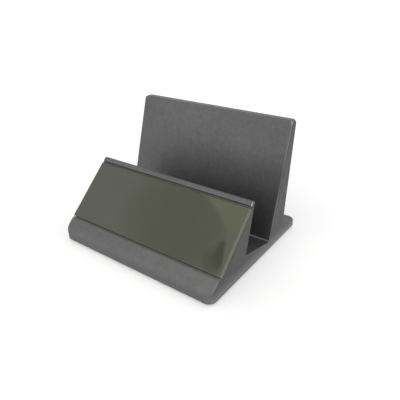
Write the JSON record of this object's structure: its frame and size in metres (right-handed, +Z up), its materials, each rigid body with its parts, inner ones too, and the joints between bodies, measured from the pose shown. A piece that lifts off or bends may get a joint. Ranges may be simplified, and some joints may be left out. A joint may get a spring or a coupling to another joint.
{
  "type": "business card holder stand",
  "caption": "Desk stand for business cards: a moulded wedge with a glossy front plate, a card slot open at both ends and a leaning back rest.",
  "frame": {"origin": "middle of the base, on the surface that the foot pads stand on", "axes": "+X to the right along the card slot, +Y back towards the rear flange, +Z up"},
  "size_m": [0.1014, 0.0884, 0.0674],
  "materials": {
    "shell_finish": "satin metallic gunmetal paint with a fine speckle",
    "plate_gloss": "polished olive, glossy",
    "backing_sheet": "plain olive sheet",
    "foam_tape": "matt black foam",
    "cover_plastic": "matt dark grey, fine moulded grain",
    "screw_steel": "dark zinc plated",
    "foot_rubber": "matt black rubber"
  },
  "bodies": {
    "root": {"stand_shell": "shell_finish", "name_plate": "plate_gloss", "plate_backing": "backing_sheet", "upper_tape": "foam_tape", "lower_tape": "foam_tape", "base_cover": "cover_plastic", "cover_screws": "screw_steel", "front_left_foot": "foot_rubber", "front_right_foot": "foot_rubber", "rear_left_foot": "foot_rubber", "rear_right_foot": "foot_rubber"}
  },
  "joints": []
}
